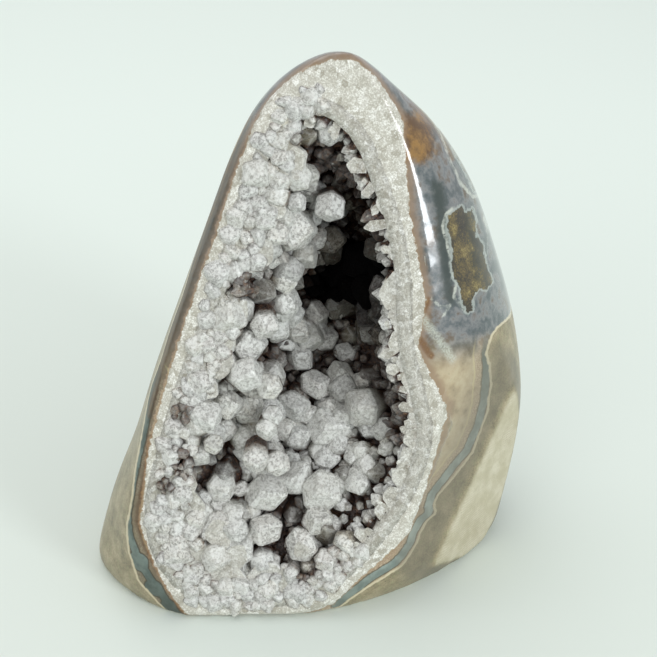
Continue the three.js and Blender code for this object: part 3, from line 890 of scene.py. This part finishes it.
def druse_tree(source):
    """Scatters a crystal over a surface, standing out of it, no two nearer than Spacing."""
    board, given, result = new_group(
        "Geometry", "scatter " + source.name,
        {"Geometry": "Geometry", "Spacing": "Float", "Smallest": "Float", "Largest": "Float",
         "Tilt": "Float", "Sunk": "Float", "Seed": "Int"}, {"Geometry": "Geometry"})
    points = board.add("GeometryNodeDistributePointsOnFaces", {
        "Mesh": given["Geometry"], "Distance Min": given["Spacing"], "Density Max": 900000.0,
        "Seed": given["Seed"]}, distribute_method="POISSON").outputs

    def chance(low, high, seed, kind="FLOAT"):
        """A number or vector drawn for each crystal."""
        low_at, high_at, drawn_at = {"FLOAT": (2, 3, 1), "FLOAT_VECTOR": (0, 1, 0)}[kind]
        node = board.add("FunctionNodeRandomValue", {low_at: low, high_at: high, "Seed": seed},
                         data_type=kind)
        return Signal(board, node.outputs[drawn_at])

    lean = board.add("ShaderNodeVectorMath", {
        0: chance((-1, -1, -1), (1, 1, 1), 3, "FLOAT_VECTOR"), "Scale": given["Tilt"]},
        operation="SCALE").outputs[0]
    facing = board.vector("ADD", points["Normal"], lean)
    turn = board.add("FunctionNodeAlignRotationToVector", {"Vector": facing}, axis="Z")
    twist = board.add("FunctionNodeAxisAngleToRotation", {"Angle": chance(0.0, 6.283, 5)})
    spin = board.add("FunctionNodeRotateRotation", {0: turn.outputs[0], 1: twist.outputs[0]},
                     rotation_space="LOCAL")
    size = chance(given["Smallest"], given["Largest"], 7)
    scale = board.add("ShaderNodeCombineXYZ", {
        0: size, 1: size * chance(0.72, 1.2, 23), 2: size * chance(0.8, 1.2, 9)})
    shape = board.add("GeometryNodeObjectInfo", {"Object": source})
    stand = board.add("GeometryNodeInstanceOnPoints", {
        "Points": points["Points"], "Instance": shape.outputs["Geometry"],
        "Rotation": spin.outputs[0], "Scale": scale.outputs[0]})
    # Sunk is in the crystal's own lengths.
    drop = board.add("ShaderNodeCombineXYZ", {2: given["Sunk"] * -1.0})
    kept = board.add("GeometryNodeTranslateInstances", {
        "Instances": stand.outputs[0], "Translation": drop.outputs[0]}).outputs[0]
    for name, seed in (("tone", 13), ("level", 17)):
        kept = board.add("GeometryNodeStoreNamedAttribute", {
            "Geometry": kept, "Name": name, "Value": chance(0.0, 1.0, seed)},
            data_type="FLOAT", domain="INSTANCE").outputs[0]
    real = board.add("GeometryNodeRealizeInstances", {0: kept})
    finish = board.add("GeometryNodeSetMaterial", {0: real.outputs[0], "Material": DRUSE_QUARTZ})
    board.feed(result[0], finish.outputs[0])
    return board.tree


def set_inputs(modifier, **values):
    for item in modifier.node_group.interface.items_tree:
        if item.item_type == "SOCKET" and item.in_out == "INPUT" and item.name in values:
            modifier[item.identifier] = values[item.name]


def cut_level(level):
    """How far a crystal's own cut lies behind the plane, so that no two caps fall together."""
    return (0.04 + 0.22 * level) * MM


def slice_off(mesh, foot, out):
    """Cuts crystals off at a plane, each a hair's breadth differently, and closes them."""
    out = Vector(out)
    with opened(mesh) as body:
        level = body.verts.layers.float["level"]
        for vert in body.verts:
            vert.co += out * cut_level(vert[level])
        bmesh.ops.bisect_plane(body, geom=body.verts[:] + body.edges[:] + body.faces[:],
                               dist=1e-7, plane_co=Vector(foot) * MM, plane_no=out,
                               clear_outer=True)
        open_edges = [edge for edge in body.edges if edge.is_boundary]
        caps = bmesh.ops.holes_fill(body, edges=open_edges, sides=0)["faces"]
        around = list({edge for face in caps for edge in face.edges})
        bmesh.ops.split_edges(body, edges=around)
        cut = body.verts.layers.float.get("cut") or body.verts.layers.float.new("cut")
        for face in caps:
            face.normal_update()
            if face.normal.dot(out) < 0:
                face.normal_flip()
            for vert in face.verts:
                vert[cut] = 1
        for vert in body.verts:
            vert.co -= out * cut_level(vert[level])


def clear_pockets(mesh):
    """Takes away the crystals that stand in the iron pockets, and half of the others' stain."""
    with opened(mesh) as body:
        iron = body.verts.layers.float["iron"]
        stained = [vert for vert in body.verts if vert[iron] > 0.5]
        bmesh.ops.delete(body, geom=stained, context="VERTS")
        for vert in body.verts:
            vert[iron] *= 0.5


def sink_in_rim(mesh):
    """Makes crystals on the rim pale only where they stand clear of it."""
    above = -on_mouth(points_of(mesh))[2]
    pale = 0.45 + 0.55 * smooth_step(above, 0.1, 1.2)
    mesh.attributes["along"].data.foreach_set("value", pale.astype(np.float32))


def finish_crystals(thing, each, cut="mouth", stain=(1, 0), gloom=0, roomy=False):
    """What every bed of small crystals needs once its crystals stand."""
    mesh = thing.data
    set_shadow(mesh, each, stain, gloom)
    if roomy:
        clear_pockets(mesh)
    if cut == "mouth":
        slice_off(mesh, (0, MOUTH_FOOT_Y, 0), OUTWARD)
    else:
        slice_off(mesh, (0, 0, 0), (0, 0, -1))
    give_quartz(mesh, DRUSE_QUARTZ)
    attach(thing, "root")


def cavity_wall(clear_lip=0):
    """The inner wall of the crust, as the ground that the small crystals stand on; on the right
    it may start some way below the lip."""
    wall = welded_copy(NODES["druse_crust"], "cavity_wall")
    middle = Vector(((MOUTH_ZERO_X + 3) * MM, MOUTH_FOOT_Y * MM, 0))
    middle += Vector(UP_SLOPE * 66 * MM) - Vector(OUTWARD * 8 * MM)
    with opened(wall.data) as body:
        body.normal_update()
        unwanted = [face for face in body.faces
                    if face.normal.dot(middle - face.calc_center_median()) < 0
                    or clear_lip and on_right_lip(face.calc_center_median(), clear_lip)]
        bmesh.ops.delete(body, geom=unwanted, context="FACES")
    return wall


def on_right_lip(place, reach):
    x, up, depth = (values[0] for values in on_mouth(np.array([place]) / MM))
    return depth < reach and x > np.interp(up, [0, 20, 60, 100, 130], [-8, 6, 10, 8, 2])


def place_on_mouth(x, up, depth):
    return (np.array([MOUTH_ZERO_X + x, MOUTH_FOOT_Y, 0]) + up * UP_SLOPE - depth * OUTWARD) * MM


def rim_ground(pockets=False):
    """The rough part of the quartz rim, left, above and below the cavity, in small flat tiles:
    either the parts where iron has settled or all the rest."""
    side = 1.2
    xs, ups = (grid.ravel() for grid in np.meshgrid(np.arange(-46, 36, side),
                                                    np.arange(0, 140, side)))
    inside = distance_inside(xs, ups, QUARTZ_EDGE)
    middle = np.interp(ups, [0, 14, 22, 60, 100, 130], [30, 24, 0, 3, 4, 2])
    rough = (inside > 3.0) & (inside < 10) & (xs < middle) & (ups > 3.5)
    stained = np.min([np.hypot(xs - x, ups - up) / reach for x, up, reach in IRON_POCKETS], axis=0)
    rough &= stained < 0.85 if pockets else stained > 0.95
    corners, tiles = [], []
    for x, up in zip(xs[rough], ups[rough]):
        tiles.append([len(corners) + i for i in range(4)])
        for dx, dup in ((0, 0), (side, 0), (side, side), (0, side)):
            corners.append(place_on_mouth(x + dx, up + dup, 0.0))
    mesh = bpy.data.meshes.new("rim_ground")
    mesh.from_pydata(corners, [], tiles)
    return new_object("rim_ground", mesh)


def make_druse(ground, seed_shape, name, seed, spacing, smallest, largest, tilt, sunk=0.0,
               **finish):
    """A bed of small crystals on some ground, which it takes the place of."""
    ground.name = name
    scatter = ground.modifiers.new("small crystals", "NODES")
    scatter.node_group = druse_tree(seed_shape)
    set_inputs(scatter, Spacing=spacing * MM, Smallest=smallest * MM, Largest=largest * MM,
               Tilt=tilt, Sunk=sunk, Seed=seed)
    baked(ground)
    if ground.name.startswith("rim"):
        sink_in_rim(ground.data)
    finish_crystals(ground, len(seed_shape.data.vertices), **finish)


def crystals_at(name, seed_shape, placed):
    """One mesh of crystals, each given on the mouth's own axes as a tip, the way it points, its
    width, its length, how far it is spun round and how its cut lies among the others'."""
    shape = points_of(seed_shape.data) * MM
    tall = shape[:, 2].max()
    faces = [list(face.vertices) for face in seed_shape.data.polygons]
    corners, sides, tones, levels = [], [], [], []
    for number, (tip, axis, width, length, spin, tone) in enumerate(placed):
        axis = np.array(axis) / np.linalg.norm(axis)
        across = np.cross(axis, [0, 0, 1] if abs(axis[2]) < 0.8 else [0, 1, 0])
        across /= np.linalg.norm(across)
        third = np.cross(axis, across)
        ring_a = math.cos(spin) * across + math.sin(spin) * third
        ring_b = math.cos(spin) * third - math.sin(spin) * across
        local = (np.outer(shape[:, 0], ring_a) + np.outer(shape[:, 1], ring_b)) * width
        local += np.outer(shape[:, 2] / tall * length, axis) + np.array(tip) - length * axis
        first = len(corners) * len(shape)
        corners.append(np.array([place_on_mouth(x, up, -out) for x, up, out in local]))
        sides += [[first + vertex for vertex in face] for face in faces]
        tones += [tone] * len(shape)
        levels += [0.1 + 0.3 * (number % 3)] * len(shape)
    mesh = bpy.data.meshes.new(name)
    mesh.from_pydata(np.concatenate(corners).tolist(), [], sides)
    along, edge = ([entry.value for entry in seed_shape.data.attributes[field].data] * len(placed)
                   for field in ("along", "edge"))
    set_fields(mesh, along=along, edge=edge, tone=tones, level=levels)
    return new_object(name, mesh)


def make_scallops(seed_shape):
    """The row of crystals reaching in from the right, sliced along by the saw."""
    dice = np.random.default_rng(7)
    placed = []
    for number, (x, up) in enumerate(SCALLOPS):
        axis = (-1, dice.uniform(-0.35, 0.35), -dice.uniform(0.02, 0.3))
        placed.append(((x, up, -dice.uniform(0.3, 1.6)), axis, dice.uniform(5.2, 7.6),
                       dice.uniform(5.5, 6.5), dice.uniform(0, 2 * math.pi), number * GOLDEN % 1))
    finish_crystals(crystals_at("rim_teeth", seed_shape, placed), len(seed_shape.data.vertices))


def make_shelf(seed_shape):
    """The largest crystals of the shelf, standing a little proud of the mouth."""
    dice = np.random.default_rng(12)
    placed = []
    for number, (x, up, width, depth) in enumerate(SHELF_CRYSTALS):
        axis = (0.2 + dice.uniform(-0.3, 0.3), -0.1 + dice.uniform(-0.3, 0.3), 1)
        tip = (x, up - 0.2 * depth, 0.3 * width - depth)
        placed.append((tip, axis, width, 1.3 * width, dice.uniform(0, 2 * math.pi),
                       number * GOLDEN % 1))
    finish_crystals(crystals_at("shelf_crystals", seed_shape, placed),
                    len(seed_shape.data.vertices), cut="base", stain=(0.3, 0))


def make_crust():
    """The bed that the small crystals stand on, closing the gap to the stone."""
    crust = welded_copy(NODES["druse_crust"], "druse_bed")
    mesh = crust.data
    sideways = normals_of(mesh)
    sideways -= np.outer(sideways @ OUTWARD, OUTWARD)
    points = points_of(mesh) + 0.42 * normals_of(mesh)  # thicker, to close the clearance
    depth = on_mouth(points)[2]
    middle = place_on_mouth(0, 62, 0) / MM
    outer = (sideways * (points - middle)).sum(axis=1) > 0
    points += np.where(outer & (depth < 2), 1.3, 0)[:, None] * sideways
    points += np.outer(np.where(depth < 0.6, depth - 0.02, 0), OUTWARD)  # its lip to the mouth
    depth = on_mouth(points)[2]
    move_points(mesh, points)
    # along falls to nothing a few millimetres behind the mouth, so the bed deeper in takes the iron
    # stain and painted shade of the crystals' roots.
    set_fields(mesh, along=smooth_step(-depth, -4, -1) * 0.9, edge=0 * depth,
               tone=0 * depth + 0.4, cut=smooth_step(-depth, -1.5, -0.2))
    set_shadow(mesh)
    give_quartz(mesh, DRUSE_QUARTZ)
    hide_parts("druse_crust")
    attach(crust, "root")


make_crust()
SLENDER = seed_crystal("slender_crystal", 0.95, 1.6, 0.035)
BLUNT = seed_crystal("blunt_crystal", 0.8, 1.25, 0.055)
make_druse(cavity_wall(), SLENDER, "druse_small_crystals", seed=4, spacing=2.0, smallest=2.0,
           largest=3.6, tilt=0.7, stain=(1.2, 0.55), gloom=0.35)
make_druse(cavity_wall(clear_lip=9), BLUNT, "druse_middle_crystals", seed=9, spacing=4.2,
           smallest=4.4, largest=7.2, tilt=0.5, sunk=0.1, roomy=True)
make_druse(cavity_wall(clear_lip=16), BLUNT, "druse_large_crystals", seed=21, spacing=6.6,
           smallest=7.0, largest=11.0, tilt=0.35, sunk=0.2, roomy=True)
make_druse(rim_ground(), BLUNT, "rim_crystals", seed=5, spacing=2.4, smallest=3.2, largest=7.0,
           tilt=0.4, sunk=0.95, cut="base", stain=(0, 0))
make_druse(rim_ground(pockets=True), SLENDER, "rim_pocket_crystals", seed=8, spacing=1.5,
           smallest=1.8, largest=3.4, tilt=0.7, sunk=0.9, cut="base")
make_scallops(BLUNT)
make_shelf(BLUNT)
bpy.data.objects.remove(SLENDER)
bpy.data.objects.remove(BLUNT)

# ---- Stage, light and camera -----------------------------------------------------------------


def make_floor():
    mesh = bpy.data.meshes.new("pale_table")
    mesh.from_pydata([(-3, -3, 0), (3, -3, 0), (3, 3, 0), (-3, 3, 0)], [], [(0, 1, 2, 3)])
    floor = new_object("pale_table", mesh)
    material, board, surface = new_material("pale table", Roughness=0.6)
    # Painted light: the table is darker at the front and paler towards the back, as the light falls
    # on it.
    back = board.add("ShaderNodeSeparateXYZ", {0: board.millimetres()}).outputs["Y"]
    board.feed(surface["Base Color"], board.mix(
        board.step(back, -140.0, 330.0), (216, 224, 217), (230, 240, 234)))
    mesh.materials.append(material)


def look_along(place, aim):
    """The turn that makes a lamp or camera at a place face what it is aimed at."""
    return (Vector(aim) - Vector(place)).to_track_quat("-Z", "Y").to_euler()


def add_softbox(name, place, aim, width, height, watts, colour=(1, 1, 1)):
    light = bpy.data.lights.new(name, "AREA")
    light.shape = "RECTANGLE"
    light.size, light.size_y = width, height
    light.energy = watts
    light.color = colour
    lamp = new_object(name, light)
    lamp.location = place
    lamp.rotation_euler = look_along(place, aim)


def light_world(strength):
    world = bpy.data.worlds.new("soft tent")
    world.use_nodes = True
    sky = world.node_tree.nodes["Background"].inputs
    sky[0].default_value = srgb(250, 252, 252)
    sky[1].default_value = strength
    bpy.context.scene.world = world


make_floor()
light_world(0.71)
add_softbox("top softbox", (-0.3, 0.35, 1.1), (0, 0.05, 0.05), 1.0, 1.0, 4.2, (1, 0.985, 0.96))
add_softbox("window", (0.58, -0.55, 0.37), (0.02, 0, 0.09), 0.2, 0.3, 2.8, (0.93, 0.97, 1))
add_softbox("front fill", (-0.5, -0.9, 0.5), (0, 0, 0.06), 0.6, 0.6, 1.6)

VIEW_DISTANCE = 0.2985  # metres
VIEW_ELEVATION = math.radians(30)
AIM_HEIGHT = 0.536  # as a share of the stone's height
height = CAD_BOX[1][2] - CAD_BOX[0][2]
target = Vector((0.00423 + MOUTH_ZERO_X * MM, -0.01232, AIM_HEIGHT * height))
camera = bpy.data.cameras.new("camera")
camera.lens = 70
camera.sensor_width = 36
viewer = new_object("camera", camera)
away = Vector((0, -math.cos(VIEW_ELEVATION), math.sin(VIEW_ELEVATION)))
viewer.location = target + VIEW_DISTANCE * away
viewer.rotation_euler = look_along(viewer.location, target)
bpy.context.scene.camera = viewer
bpy.context.scene.view_settings.view_transform = "Standard"
